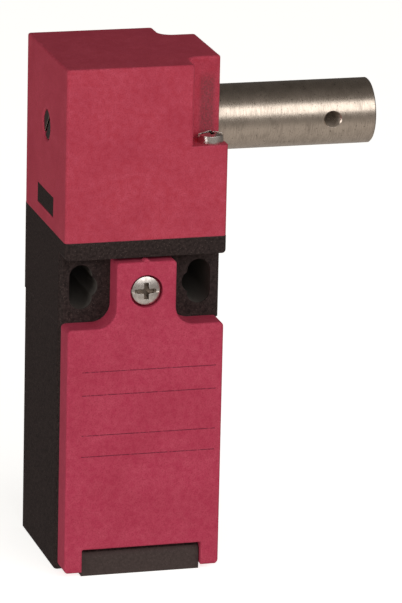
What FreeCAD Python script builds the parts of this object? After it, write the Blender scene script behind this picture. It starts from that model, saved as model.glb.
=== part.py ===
import FreeCAD, Part
import math
import os
from FreeCAD import Vector

# Safety position switch with a rotary spindle head, in millimetres.
# X runs to the right along the spindle, Y runs to the back, Z runs up.
# The origin lies in the back face, half way between the two fixing holes.

# Body housing
ear_width = 30.0
side_step = 0.15
ledge_drop = 7.0
body_depth = 26.2
body_drop = 53.8
collar_top = 9.3
collar_thickness = 3.2
collar_overhang = 3.8
ear_edge_radius = 1.0
body_edge_radius = 2.0
body_foot_radius = 1.2
collar_end_radius = 0.8
fine_edge_radius = 0.4
back_wall = 2.9

# Fixing holes in the ears
slot_inset = 4.0
hole_inset = 5.0
fixing_diameter = 4.3
slot_length = 8.3

# Front cover
cover_depth = 5.0
cover_inset = 0.3
cover_plate = 2.3
cover_wall = 1.55
cover_drop = 52.9
neck_width = 11.1
neck_gap = 0.6
neck_corner_radius = 0.7
shoulder_drop = 6.6
shoulder_fillet = 3.5
shoulder_corner_radius = 0.8
cover_corner_radius = 0.9
cover_edge_radius = 0.4
cover_foot_radius = 0.6
cover_leg_width = 3.35
notch_drop = 48.5
notch_corner_radius = 0.25
neck_pip_radius = 0.65
neck_pip_rise = 0.4
neck_pip_length = 1.5

# Cover hinge at the foot of the body
hinge_radius = 1.2
hinge_pin_radius = 0.8
hinge_pin_length = 1.6
hinge_clearance = 0.05
hinge_end_gap = 0.1
hinge_swing_gap = 0.1
tab_recess = 1.1

# Cover seal
gasket_width = 1.0
gasket_height = 1.4
gasket_clearance = 0.05
gasket_outer_corner = 1.5
gasket_inner_corner = 1.0
cavity_inset = 0.15
cavity_corner_radius = 1.2

# Cover screw
cover_screw_hole = 6.1
cover_screw_head = 5.3
cover_screw_head_height = 1.8
cover_screw_dome = 0.45
cover_screw_recess = 0.1
cover_screw_shank = 2.45
cover_screw_reach = 3.6
cover_screw_end_gap = 0.5
cover_insert_diameter = 5.0
cover_insert_length = 3.0
cover_insert_bore = 3.0
retainer_thickness = 0.9
retainer_diameter = 5.2

# Head housing
head_height = 31.9
head_wall = 2.5
head_roof = 2.5
head_edge_radius = 0.6
head_chamber_corner = 1.0
corner_step_width = 6.5
corner_step_depth = 6.2
corner_step_radius = 2.4
corner_step_height = 16.9
step_wall = 2.2
latch_side_wall = 5.8

# Head screws
head_screw_inset_x = 2.5
head_screw_inset_y = 3.0
head_screw_head = 4.6
head_screw_head_height = 1.8
head_screw_dome = 0.4
m3_radius = 1.5
m3_clearance = 0.2
m3_insert_radius = 2.1
head_insert_length = 2.4
insert_floor = 0.1

# Head gasket in a groove of the collar
head_gasket_width = 1.0
head_gasket_height = 0.8
head_gasket_edge = 1.1
head_gasket_side_gap = 0.4
head_gasket_screw_gap = 2.5

# Latch hook of the body in the window of the head
latch_window_width = 12.0
latch_window_height = 3.7
latch_window_rise = 2.5
latch_arm_thickness = 1.5
latch_clearance = 0.1

# Spindle
spindle_diameter = 12.0
spindle_reach = 30.6
spindle_chamfer = 0.2
spindle_shoulder_gap = 0.25
outer_journal_diameter = 11.6
cross_hole_diameter = 3.0
cross_hole_inset = 8.3
cross_hole_sink = 0.25
cam_seat_diameter = 9.0
journal_diameter = 7.0
tail_diameter = 5.2
tail_inset = 0.25
tail_slot_width = 0.8
tail_slot_depth = 0.8
tail_slot_degrees = 50.0
running_clearance = 0.03
end_play = 0.1

# Spindle bushes and seals
outer_bush_radius = 7.4
outer_lip = 0.7
lip_clearance = 0.3
outer_seal_length = 2.0
outer_flange_radius = 9.0
bush_flange = 1.0
inner_bush_radius = 5.0
tail_window_diameter = 5.6
tail_window_wall = 1.4
tail_window_chamfer = 0.3
end_seal_length = 1.2
washer_thickness = 0.5
washer_radius = 6.0
washer_clearance = 0.1

# Cam: its flat follower drops by the same amount for each degree
cam_base = 7.0
cam_travel = 3.0
cam_turn_degrees = 180.0
cam_margin_degrees = 12.0
cam_roof_gap = 0.9
cam_hub_length = 2.2
cam_hub_drop = 0.1
cam_back_rise = 0.2
cam_flank_steps = 24
cam_gap = 0.15
cam_pin_radius = 1.0
cam_pin_inset = 0.2

# Tappet, its guide, seal and spring
tappet_head_radius = 4.5
tappet_head_height = 2.5
tappet_side_clearance = 0.5
tappet_stem_radius = 2.5
tappet_end_below_roof = 0.25
guide_radius = 4.0
guide_flange_side_gap = 0.8
guide_flange = 1.0
guide_length = 15.3
guide_clearance = 0.04
tappet_seal_radius = 3.4
tappet_seal_height = 1.8
tappet_spring_radius = 4.0
tappet_spring_wire = 0.7
tappet_spring_half_pitch = 0.69

# Contact block
block_side_gap = 0.8
block_front_reach = 4.0
block_top_gap = 0.65
level_pitch = 7.0
first_strip_drop = 2.9
open_level_drop = 23.55
guide_gap = 0.15
push_gap = 0.05
carrier_half_width = 3.0
carrier_half_depth = 2.8
carrier_foot = 2.0
window_gap = 0.2
chamber_side_gap = 0.6
chamber_gap = 0.3
bar_half_depth = 1.3
bar_thickness = 0.6
bridge_tip_height = 0.4
contact_tip_radius = 1.1
tip_centre = 5.3
closed_free_play = 0.6
contact_spring_length = 2.6
contact_spring_radius = 1.1
contact_spring_wire = 0.35
contact_spring_half_pitch = 0.32
return_spring_length = 5.0
return_spring_radius = 1.6
return_spring_wire = 0.35
return_spring_half_pitch = 0.51
block_floor = 1.0
flange_height = 5.0
flange_thickness = 3.0
block_screw_inset = 3.0
block_screw_head = 4.8
block_screw_head_height = 1.8
block_screw_dome = 0.4
block_insert_length = 2.2
tongue_half_width = 4.0
tongue_depth = 2.0
tongue_rise = 1.4
cover_plate_side_gap = 0.7
cover_plate_thickness = 2.5
barrier_reach = 4.6
barrier_thickness = 0.9

# Fixed contacts and terminals
strip_thickness = 0.8
strip_half_depth = 1.4
strip_tip_margin = 0.1
strip_end_margin = 0.8
strip_neck = 4.0
fixed_tip_height = 0.5
plate_thickness = 1.0
plate_height = 5.2
plate_width = 5.2
slot_fit = 0.05
wire_gap = 0.5
clamp_side = 5.0
clamp_thickness = 0.8
terminal_head = 5.0
terminal_head_height = 2.0
terminal_dome = 0.4
terminal_reach = 1.8

# Cable entry
entry_bore = 14.5
entry_chamfer = 0.8

# Screw heads, as shares of their diameter or height
recess_reach_share = 0.29
recess_slot_share = 0.14
recess_arm_share = 0.17
recess_heart_share = 0.15
recess_depth_share = 0.62
slot_depth_share = 0.66
screw_point_share = 0.3

# How far a cutting body runs past the face that it cuts
overrun = 1.0

# Places that follow from the sizes above
half_width = ear_width / 2
lower_half = half_width - side_step
cover_half = lower_half - cover_inset
notch_half = cover_half - cover_leg_width
head_depth = body_depth + collar_overhang
middle_y = -head_depth / 2
cover_front = body_depth + cover_depth
neck_top = collar_top - collar_thickness - neck_gap
head_top = collar_top + head_height
step_floor = collar_top + corner_step_height
step_x = half_width - corner_step_width
chamber_right = step_x - step_wall
chamber_left = latch_side_wall - half_width
cam_rate = cam_travel / math.radians(cam_turn_degrees)
cam_reach = cam_base + cam_rate * math.radians(cam_turn_degrees + cam_margin_degrees)
spindle_z = head_top - head_roof - cam_roof_gap - cam_reach
spindle_tip = half_width + spindle_reach
spindle_radius = spindle_diameter / 2
spindle_shoulder = half_width + spindle_shoulder_gap
outer_journal_radius = outer_journal_diameter / 2
cam_seat_radius = cam_seat_diameter / 2
journal_radius = journal_diameter / 2
tail_radius = tail_diameter / 2
tail_end = tail_inset - half_width
window_inner = tail_window_wall - half_width
inner_bush_end = window_inner + end_seal_length
outer_bush_end = half_width - outer_lip - outer_seal_length
seat_shoulder = chamber_right - bush_flange - end_play
seat_start = chamber_left + washer_thickness + end_play
cam_half_width = seat_shoulder - cam_hub_length
cam_hub_radius = cam_base - cam_hub_drop
cam_back_radius = cam_base + cam_back_rise
hinge_y = -body_depth - hinge_radius
hinge_z = hinge_radius - cover_drop
swing_radius = -notch_drop - hinge_z - hinge_swing_gap
tab_half = notch_half - hinge_end_gap
tab_front = cover_front - tab_recess
gasket_half = cover_half - cover_wall - gasket_clearance
gasket_top = -shoulder_drop - cover_wall - gasket_clearance
gasket_bottom = cover_wall + gasket_clearance - notch_drop
cavity_half = gasket_half - gasket_width - cavity_inset
cavity_top = gasket_top - gasket_width - cavity_inset
cavity_bottom = gasket_bottom + gasket_width + cavity_inset
cavity_back = -back_wall
cover_inner = cover_plate - cover_front
screw_seat = cover_screw_recess + cover_screw_head_height - cover_front
head_screw_x = half_width - head_screw_inset_x
head_screw_places = [-head_depth + head_screw_inset_y, -head_screw_inset_y]
slot_x = half_width - slot_inset
hole_x = half_width - hole_inset
fixing_radius = fixing_diameter / 2
latch_low = collar_top + latch_window_rise
latch_high = latch_low + latch_window_height
latch_outer = -half_width
latch_pocket_right = latch_outer + head_wall + latch_arm_thickness
tappet_top = spindle_z - cam_base - cam_gap
tappet_shoulder = tappet_top - tappet_head_height
tappet_end = cavity_top - tappet_end_below_roof
guide_top = collar_top + guide_flange
guide_flange_radius = chamber_right - guide_flange_side_gap
block_top = cavity_top - block_top_gap
block_half_width = cavity_half - block_side_gap
block_back = cavity_back
block_front = middle_y - block_front_reach
block_screw_x = block_half_width - block_screw_inset
carrier_top = tappet_end - push_gap
closed_strips = [block_top - first_strip_drop, block_top - first_strip_drop - level_pitch]
open_strip = block_top - open_level_drop
bar_half_length = tip_centre + contact_tip_radius
chamber_half_width = bar_half_length + chamber_side_gap
window_half_depth = bar_half_depth + window_gap
strip_inner_end = tip_centre - contact_tip_radius - strip_tip_margin
strip_outer_end = block_half_width - strip_end_margin
terminal_x = strip_outer_end - strip_neck / 2
cover_plate_half_width = terminal_x - plate_width / 2 - cover_plate_side_gap
plate_front = block_front - plate_thickness
clamp_back = plate_front - wire_gap
clamp_front = clamp_back - clamp_thickness


# Flat outlines placed in space
def on_plan(point, offset):
    return Vector(point[0], point[1], offset)


def on_front(point, offset):
    return Vector(point[0], offset, point[1])


def on_side(point, offset):
    return Vector(offset, point[0], point[1])


# Start, middle and end of the arc that rounds one corner of an outline
def rounded_corner(before, corner, after, radius):
    centre = Vector(corner[0], corner[1], 0)
    if radius <= 0:
        return centre, None, centre
    back = (Vector(before[0], before[1], 0) - centre).normalize()
    ahead = (Vector(after[0], after[1], 0) - centre).normalize()
    half_angle = back.getAngle(ahead) / 2
    reach = radius / math.tan(half_angle)
    middle_line = (back + ahead).normalize()
    arc_centre = centre + middle_line * (radius / math.sin(half_angle))
    return centre + back * reach, arc_centre - middle_line * radius, centre + ahead * reach


def outline(place, offset, points, radii):
    corners = []
    for index, corner in enumerate(points):
        after = points[(index + 1) % len(points)]
        corners.append(rounded_corner(points[index - 1], corner, after, radii[index]))
    edges = []
    for index, (start, middle, end) in enumerate(corners):
        if middle is not None:
            arc_points = [place(point, offset) for point in (start, middle, end)]
            edges.append(Part.Arc(*arc_points).toShape())
        following = corners[(index + 1) % len(corners)][0]
        if end.distanceToPoint(following) > 1e-6:
            edges.append(Part.makeLine(place(end, offset), place(following, offset)))
    return Part.Wire(edges)


def prism(place, points, radii, low, high):
    face = Part.Face(outline(place, low, points, radii))
    return face.extrude(place((0, 0), high) - place((0, 0), low))


def rectangle(left, right, low, high):
    return [(left, low), (right, low), (right, high), (left, high)]


def block(x, y, z):
    corner = Vector(x[0], y[0], z[0])
    return Part.makeBox(x[1] - x[0], y[1] - y[0], z[1] - z[0], corner)


def rod_x(radius, x, y, z):
    return Part.makeCylinder(radius, x[1] - x[0], Vector(x[0], y, z), Vector(1, 0, 0))


def rod_y(radius, x, y, z):
    return Part.makeCylinder(radius, y[1] - y[0], Vector(x, y[0], z), Vector(0, 1, 0))


def rod_z(radius, x, y, z):
    return Part.makeCylinder(radius, z[1] - z[0], Vector(x, y, z[0]), Vector(0, 0, 1))


def joined(first, others):
    return first.multiFuse(others).removeSplitter()


def edges_at(shape, normal, value):
    found = []
    for edge in shape.Edges:
        heights = [vertex.Point.dot(normal) for vertex in edge.Vertexes]
        heights.append(edge.CenterOfMass.dot(normal))
        if all(abs(height - value) < 1e-4 for height in heights):
            found.append(edge)
    return found


def softened(shape, normal, value, radius):
    return shape.makeFillet(radius, edges_at(shape, normal, value))


# Coil of tangent half turns, each a half ring tilted about its own diameter
def coil_spring(x, y, z, mean_radius, wire, half_pitch):
    half_turns = int((z[1] - z[0] - wire) / half_pitch)
    rise = (z[1] - z[0] - wire) / half_turns
    rings = []
    for index in range(half_turns):
        side = 1 if index % 2 == 0 else -1
        start_height = z[0] + wire / 2 + rise * index
        start = Vector(x + side * mean_radius, y, start_height)
        centre = Vector(x, y, start_height + rise / 2)
        section = Part.Face(Part.Wire(Part.makeCircle(wire / 2, start, Vector(0, 1, 0))))
        rings.append(section.revolve(centre, (start - centre).cross(Vector(0, side, 0)), 180))
    return joined(rings[0], rings[1:])


# One solid with many pieces, or a group of them, as one sub-part
def save(name, shape):
    shape.exportStep("parts/" + name + ".step")


def save_group(name, shapes):
    save(name, Part.makeCompound(shapes))


# Body housing
def ear_block():
    points = rectangle(-half_width, half_width, -body_depth, 0)
    radii = [ear_edge_radius, ear_edge_radius, fine_edge_radius, fine_edge_radius]
    return prism(on_plan, points, radii, -ledge_drop, collar_top)


def collar():
    low = collar_top - collar_thickness
    points = rectangle(-half_width, half_width, -head_depth, 0)
    plate = prism(on_plan, points, [fine_edge_radius] * 4, low, collar_top)
    profile = rectangle(-half_width, half_width, low, collar_top)
    radii = [collar_end_radius, collar_end_radius, 0, 0]
    front_end = ear_edge_radius - body_depth
    front = prism(on_front, profile, radii, -head_depth, front_end)
    rest = block((-half_width, half_width), (front_end, 0), (low, collar_top))
    return plate.common(front.fuse(rest))


def lower_block():
    points = rectangle(-lower_half, lower_half, -body_depth, 0)
    radii = [body_edge_radius, body_edge_radius, fine_edge_radius, fine_edge_radius]
    column = prism(on_plan, points, radii, -body_drop, -ledge_drop)
    side = rectangle(-body_depth, 0, -body_drop, 0)
    foot_radii = [body_foot_radius, fine_edge_radius, 0, 0]
    return column.common(prism(on_side, side, foot_radii, -half_width, half_width))


# Tab with the two moulded hinge pins, rounded about the hinge line so that the cover can swing
def hinge_tab():
    x = (-tab_half, tab_half)
    y = (-tab_front, -body_depth + body_foot_radius)
    top = hinge_z + swing_radius
    upper = block(x, y, (hinge_z, top)).common(rod_x(swing_radius, x, hinge_y, hinge_z))
    lower = block(x, y, (-body_drop, hinge_z))
    bridge = block(x, (hinge_y, y[1]), (hinge_z, top))
    pin_x = (-tab_half - hinge_pin_length, tab_half + hinge_pin_length)
    pins = rod_x(hinge_pin_radius, pin_x, hinge_y, hinge_z)
    return joined(lower, [upper, bridge, pins])


def latch_hook():
    half = latch_window_width / 2 - latch_clearance
    y = (middle_y - half, middle_y + half)
    arm_left = latch_outer + head_wall + latch_clearance
    arm_right = latch_pocket_right - latch_clearance
    top = latch_high - latch_clearance
    arm = block((arm_left, arm_right), y, (collar_top, top))
    lug = block((latch_outer + latch_clearance / 2, arm_right), y, (latch_low + latch_clearance, top))
    return arm.fuse(lug)


def fixing_holes():
    y = (-head_depth, overrun)
    straight = (slot_length - fixing_diameter) / 2
    cuts = []
    for side in (-1, 1):
        x = side * slot_x
        sides = (x - fixing_radius, x + fixing_radius)
        cuts.append(block(sides, y, (-straight, straight)))
        cuts.append(rod_y(fixing_radius, x, y, straight))
        cuts.append(rod_y(fixing_radius, x, y, -straight))
        cuts.append(rod_y(fixing_radius, side * hole_x, y, 0))
    return cuts


def gasket_groove_outline(inset):
    left = chamber_left - head_gasket_side_gap - head_gasket_width + inset
    right = head_screw_x - m3_insert_radius - head_gasket_screw_gap - inset
    return rectangle(left, right, head_gasket_edge + inset - head_depth, -head_gasket_edge - inset)


def head_gasket_ring(low, high):
    radius = 2 * head_gasket_width
    outer = prism(on_plan, gasket_groove_outline(0), [radius] * 4, low, high)
    inner = prism(on_plan, gasket_groove_outline(head_gasket_width), [radius / 2] * 4, low, high)
    return outer.cut(inner)


def contact_cavity():
    points = rectangle(-cavity_half, cavity_half, cavity_bottom, cavity_top)
    return prism(on_front, points, [cavity_corner_radius] * 4, -head_depth, cavity_back)


def tongue_pocket():
    gap = guide_gap
    x = (-tongue_half_width - gap, tongue_half_width + gap)
    y = (block_back - tongue_depth - gap, block_back)
    return block(x, y, (block_top, block_top + tongue_rise + gap))


def cable_entry():
    radius = entry_bore / 2
    bore = rod_z(radius, 0, middle_y, (-body_drop, cavity_bottom + overrun))
    mouth = Part.makeCone(radius + entry_chamfer, radius, entry_chamfer, Vector(0, middle_y, -body_drop))
    return bore.fuse(mouth)


def body_insert_holes():
    cuts = []
    for y in head_screw_places:
        z = (collar_top - head_insert_length - insert_floor, collar_top)
        cuts.append(rod_z(m3_insert_radius, head_screw_x, y, z))
    for side in (-1, 1):
        y = (block_back, block_back + block_insert_length + insert_floor)
        cuts.append(rod_y(m3_insert_radius, side * block_screw_x, y, block_screw_z()))
    return cuts


def cover_screw_bore():
    insert_end = cover_insert_length - body_depth
    screw_end = cover_screw_reach - body_depth + cover_screw_end_gap
    insert_hole = rod_y(cover_insert_diameter / 2, 0, (-head_depth, insert_end), 0)
    relief = rod_y(cover_insert_bore / 2 + m3_clearance, 0, (-head_depth, screw_end), 0)
    return insert_hole.fuse(relief)


def body_housing():
    shell = joined(ear_block(), [collar(), lower_block(), hinge_tab(), latch_hook()])
    cuts = [contact_cavity(), tongue_pocket(), cable_entry(), cover_screw_bore()]
    cuts.append(rod_z(guide_radius, 0, middle_y, (cavity_top - overrun, collar_top)))
    cuts.append(head_gasket_ring(collar_top - head_gasket_height, collar_top))
    return shell.cut(cuts + fixing_holes() + body_insert_holes())


# Head housing
def head_block():
    points = rectangle(-half_width, half_width, -head_depth, 0)
    lower = prism(on_plan, points, [head_edge_radius] * 4, collar_top, step_floor)
    front = -head_depth
    stepped = [
        (-half_width, front),
        (step_x, front),
        (step_x, front + corner_step_depth),
        (half_width, front + corner_step_depth),
        (half_width, -corner_step_depth),
        (step_x, -corner_step_depth),
        (step_x, 0),
        (-half_width, 0),
    ]
    edge = head_edge_radius
    radii = [edge, edge, corner_step_radius, edge, edge, corner_step_radius, edge, edge]
    upper = prism(on_plan, stepped, radii, step_floor, head_top)
    upper = softened(upper, Vector(0, 0, 1), head_top, fine_edge_radius)
    return lower.fuse(upper).removeSplitter()


def head_chamber():
    points = rectangle(chamber_left, chamber_right, head_wall - head_depth, -head_wall)
    room = prism(on_plan, points, [head_chamber_corner] * 4, collar_top, head_top - head_roof)
    tappet_room = rod_z(tappet_head_radius + tappet_side_clearance, 0, middle_y, (collar_top, tappet_top))
    return joined(room, [tappet_room])


def spindle_bores():
    outer_end = half_width - outer_lip
    outer = rod_x(outer_bush_radius, (chamber_right - overrun, outer_end), middle_y, spindle_z)
    lip = rod_x(outer_journal_radius + lip_clearance, (outer_end, half_width), middle_y, spindle_z)
    inner = rod_x(inner_bush_radius, (window_inner, chamber_left + overrun), middle_y, spindle_z)
    window_radius = tail_window_diameter / 2
    tail = rod_x(window_radius, (-half_width, window_inner), middle_y, spindle_z)
    start = Vector(-half_width, middle_y, spindle_z)
    chamfer = tail_window_chamfer
    mouth = Part.makeCone(window_radius + chamfer, window_radius, chamfer, start, Vector(1, 0, 0))
    return [outer, lip, inner, tail, mouth]


def latch_cuts():
    half = latch_window_width / 2
    y = (middle_y - half, middle_y + half)
    pocket_x = (latch_outer + head_wall, latch_pocket_right)
    pocket = block(pocket_x, y, (collar_top, latch_high))
    window = block((latch_outer, latch_pocket_right), y, (latch_low, latch_high))
    return [pocket, window]


def head_screw_holes():
    radius = m3_radius + m3_clearance
    return [rod_z(radius, head_screw_x, y, (collar_top, step_floor)) for y in head_screw_places]


def head_housing():
    return head_block().cut([head_chamber()] + spindle_bores() + latch_cuts() + head_screw_holes())


def head_gasket():
    return head_gasket_ring(collar_top - head_gasket_height, collar_top)


# Front cover, its seal and its captive screw
def cover_outline():
    neck = neck_width / 2
    points = [
        (-neck, neck_top),
        (-neck, -shoulder_drop),
        (-cover_half, -shoulder_drop),
        (-cover_half, -cover_drop),
        (-notch_half, -cover_drop),
        (-notch_half, -notch_drop),
        (notch_half, -notch_drop),
        (notch_half, -cover_drop),
        (cover_half, -cover_drop),
        (cover_half, -shoulder_drop),
        (neck, -shoulder_drop),
        (neck, neck_top),
    ]
    left = [neck_corner_radius, shoulder_fillet, shoulder_corner_radius, cover_corner_radius]
    left += [notch_corner_radius, notch_corner_radius]
    return points, left + left[::-1]


def cover_shell():
    points, radii = cover_outline()
    shell = prism(on_front, points, radii, -cover_front, -body_depth)
    shell = softened(shell, Vector(0, 1, 0), -cover_front, cover_edge_radius)
    side = rectangle(-cover_front, -body_depth, -cover_drop, collar_top)
    side_radii = [cover_foot_radius, hinge_radius, 0, 0]
    return shell.common(prism(on_side, side, side_radii, -half_width, half_width))


def neck_pip():
    y = (fine_edge_radius - cover_front, fine_edge_radius + neck_pip_length - cover_front)
    return rod_y(neck_pip_radius, 0, y, neck_top + neck_pip_rise - neck_pip_radius)


def gasket_outline(inset):
    half = gasket_half - inset
    return rectangle(-half, half, gasket_bottom + inset, gasket_top - inset)


def cover_pocket():
    inner_radii = [gasket_inner_corner] * 4
    inner = prism(on_front, gasket_outline(gasket_width), inner_radii, cover_inner, -body_depth)
    seat = -body_depth - gasket_height
    groove_radii = [gasket_outer_corner] * 4
    groove = prism(on_front, gasket_outline(-gasket_clearance), groove_radii, seat, -body_depth)
    return inner.fuse(groove)


def cover_screw_holes():
    front_hole = rod_y(cover_screw_hole / 2, 0, (-cover_front, screw_seat), 0)
    shank_hole = rod_y(cover_insert_bore / 2 + m3_clearance, 0, (-cover_front, -body_depth), 0)
    seat = -body_depth - retainer_thickness - gasket_clearance
    retainer_hole = rod_y(retainer_diameter / 2 + gasket_clearance, 0, (seat, -body_depth), 0)
    return front_hole.fuse([shank_hole, retainer_hole])


def hinge_sockets():
    radius = hinge_pin_radius + hinge_clearance
    end = tab_half + hinge_pin_length + hinge_end_gap
    left = rod_x(radius, (-end, -notch_half), hinge_y, hinge_z)
    right = rod_x(radius, (notch_half, end), hinge_y, hinge_z)
    return [left, right]


def front_cover():
    shell = cover_shell().fuse(neck_pip())
    return shell.cut([cover_pocket(), cover_screw_holes()] + hinge_sockets())


def cover_gasket():
    y = (-body_depth - gasket_height, -body_depth)
    outer = prism(on_front, gasket_outline(0), [gasket_outer_corner] * 4, y[0], y[1])
    return outer.cut(prism(on_front, gasket_outline(gasket_width), [gasket_inner_corner] * 4, y[0], y[1]))


# Cross recess with one slot right across, cut downwards from a head's face at z = 0
def combination_recess(head_diameter, depth):
    reach = head_diameter * recess_reach_share
    half_slot = head_diameter * recess_slot_share / 2
    half_arm = head_diameter * recess_arm_share / 2
    heart_radius = head_diameter * recess_heart_share
    slot = block((-head_diameter, head_diameter), (-half_slot, half_slot), (-depth * slot_depth_share, depth))
    along = block((-reach, reach), (-half_arm, half_arm), (-depth, depth))
    across = block((-half_arm, half_arm), (-reach, reach), (-depth, depth))
    heart = Part.makeCone(heart_radius / 2, heart_radius, depth, Vector(0, 0, -depth))
    return slot.fuse([along, across, heart])


# Pan-head screw pointing down, with its seat at z = 0 and a domed face
def screw_shape(head_diameter, head_height, dome_rise, shank_radius, length):
    radius = head_diameter / 2
    dome_radius = (radius ** 2 + dome_rise ** 2) / (2 * dome_rise)
    dome = Part.makeSphere(dome_radius, Vector(0, 0, head_height - dome_radius))
    head = Part.makeCylinder(radius, head_height).common(dome)
    recess = combination_recess(head_diameter, head_height * recess_depth_share)
    recess.translate(Vector(0, 0, head_height))
    point = shank_radius * screw_point_share
    shank = Part.makeCylinder(shank_radius, length - point, Vector(0, 0, point - length))
    tip = Part.makeCone(shank_radius - point, shank_radius, point, Vector(0, 0, -length))
    return head.cut(recess).fuse([shank, tip])


def turned_to_front(shape, place):
    shape.rotate(Vector(0, 0, 0), Vector(1, 0, 0), 90)
    shape.translate(place)
    return shape


def cover_screw():
    length = cover_screw_reach - body_depth - screw_seat
    screw = screw_shape(
        cover_screw_head, cover_screw_head_height, cover_screw_dome, cover_screw_shank / 2, length)
    return turned_to_front(screw, Vector(0, screw_seat, 0))


def cover_screw_retainer():
    y = (-body_depth - retainer_thickness, -body_depth)
    ring = rod_y(retainer_diameter / 2, 0, y, 0)
    return ring.cut(rod_y(cover_screw_shank / 2, 0, y, 0))


def cover_screw_insert():
    y = (-body_depth, cover_insert_length - body_depth)
    insert = rod_y(cover_insert_diameter / 2, 0, y, 0)
    return insert.cut(rod_y(cover_insert_bore / 2, 0, y, 0))


# Head screws and their inserts
def head_screws():
    length = step_floor - collar_top + head_insert_length - insert_floor
    screws = []
    for y in head_screw_places:
        screw = screw_shape(head_screw_head, head_screw_head_height, head_screw_dome, m3_radius, length)
        screw.translate(Vector(head_screw_x, y, step_floor))
        screws.append(screw)
    return screws


def head_screw_inserts():
    z = (collar_top - head_insert_length, collar_top)
    inserts = []
    for y in head_screw_places:
        outer = rod_z(m3_insert_radius, head_screw_x, y, z)
        inserts.append(outer.cut(rod_z(m3_radius, head_screw_x, y, z)))
    return inserts


# Spindle, its bushes and its seals
def spindle():
    straight = rod_x(spindle_radius, (spindle_shoulder, spindle_tip - spindle_chamfer), middle_y, spindle_z)
    outer = rod_x(outer_journal_radius, (seat_shoulder, spindle_shoulder), middle_y, spindle_z)
    tip_place = Vector(spindle_tip - spindle_chamfer, middle_y, spindle_z)
    tip_radius = spindle_radius - spindle_chamfer
    tip = Part.makeCone(spindle_radius, tip_radius, spindle_chamfer, tip_place, Vector(1, 0, 0))
    seat = rod_x(cam_seat_radius, (seat_start, seat_shoulder), middle_y, spindle_z)
    journal = rod_x(journal_radius, (inner_bush_end + end_play, seat_start), middle_y, spindle_z)
    tail = rod_x(tail_radius, (tail_end, inner_bush_end + end_play), middle_y, spindle_z)
    shaft = straight.fuse([tip, outer, seat, journal, tail])
    return shaft.cut([tail_slot(), cross_hole(), cam_pin_rod()] + cross_hole_sinks())


def tail_slot():
    reach = spindle_radius
    half = tail_slot_width / 2
    slot = block((tail_end, tail_end + tail_slot_depth), (-reach, reach), (-half, half))
    slot.rotate(Vector(0, 0, 0), Vector(1, 0, 0), -tail_slot_degrees)
    slot.translate(Vector(0, middle_y, spindle_z))
    return slot


def cross_hole():
    y = (middle_y - spindle_radius - overrun, middle_y + spindle_radius + overrun)
    return rod_y(cross_hole_diameter / 2, spindle_tip - cross_hole_inset, y, spindle_z)


def cross_hole_sinks():
    small = cross_hole_diameter / 2
    sinks = []
    for side in (-1, 1):
        sink_y = middle_y + side * (spindle_radius - cross_hole_sink)
        start = Vector(spindle_tip - cross_hole_inset, sink_y, spindle_z)
        reach = 4 * cross_hole_sink
        sinks.append(Part.makeCone(small, small + reach, reach, start, Vector(0, side, 0)))
    return sinks


def spindle_bush_outer():
    barrel = rod_x(outer_bush_radius, (chamber_right, outer_bush_end), middle_y, spindle_z)
    flange_x = (chamber_right - bush_flange, chamber_right)
    flange = rod_x(outer_flange_radius, flange_x, middle_y, spindle_z)
    bore_x = (flange_x[0], outer_bush_end)
    bore = rod_x(outer_journal_radius + running_clearance, bore_x, middle_y, spindle_z)
    return barrel.fuse(flange).cut(bore)


def spindle_seal():
    x = (outer_bush_end, half_width - outer_lip)
    ring = rod_x(outer_bush_radius, x, middle_y, spindle_z)
    return ring.cut(rod_x(outer_journal_radius + running_clearance, x, middle_y, spindle_z))


def spindle_bush_inner():
    x = (inner_bush_end, chamber_left)
    ring = rod_x(inner_bush_radius, x, middle_y, spindle_z)
    return ring.cut(rod_x(journal_radius + running_clearance, x, middle_y, spindle_z))


def spindle_end_seal():
    x = (window_inner, inner_bush_end)
    ring = rod_x(inner_bush_radius, x, middle_y, spindle_z)
    return ring.cut(rod_x(tail_radius + running_clearance, x, middle_y, spindle_z))


def thrust_washer():
    x = (chamber_left, chamber_left + washer_thickness)
    ring = rod_x(washer_radius, x, middle_y, spindle_z)
    return ring.cut(rod_x(journal_radius + washer_clearance, x, middle_y, spindle_z))


# Cam flank: a flat follower that faces it at turn angle t stands at cam_base + cam_rate * t
def cam_flank_point(turn):
    direction = -math.pi / 2 - turn
    distance = cam_base + cam_rate * turn
    across = distance * math.cos(direction) + cam_rate * math.sin(direction)
    up = distance * math.sin(direction) - cam_rate * math.cos(direction)
    return Vector(-cam_half_width, middle_y + across, spindle_z + up)


def cam():
    margin = math.radians(cam_margin_degrees)
    full_turn = math.radians(cam_turn_degrees) + 2 * margin
    step = full_turn / cam_flank_steps
    flank_points = [cam_flank_point(step * index - margin) for index in range(cam_flank_steps + 1)]
    flank = Part.BSplineCurve()
    flank.interpolate(flank_points)
    back_point = Vector(-cam_half_width, middle_y + cam_back_radius, spindle_z)
    back = Part.Arc(flank_points[-1], back_point, flank_points[0])
    face = Part.Face(Part.Wire([flank.toShape(), back.toShape()]))
    disc = face.extrude(Vector(2 * cam_half_width, 0, 0))
    hub = rod_x(cam_hub_radius, (cam_half_width, seat_shoulder), middle_y, spindle_z)
    bore = rod_x(cam_seat_radius, (-cam_half_width, seat_shoulder), middle_y, spindle_z)
    return disc.fuse(hub).cut([bore, cam_pin_rod()])


def cam_pin_rod():
    x = (cam_half_width + seat_shoulder) / 2
    reach = cam_hub_radius - cam_pin_inset
    z = (spindle_z - reach, spindle_z + reach)
    return rod_z(cam_pin_radius, x, middle_y, z)


# Tappet, its guide, its seal and its spring
def tappet():
    head = rod_z(tappet_head_radius, 0, middle_y, (tappet_shoulder, tappet_top))
    stem = rod_z(tappet_stem_radius, 0, middle_y, (tappet_end, tappet_shoulder))
    return head.fuse(stem)


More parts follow.
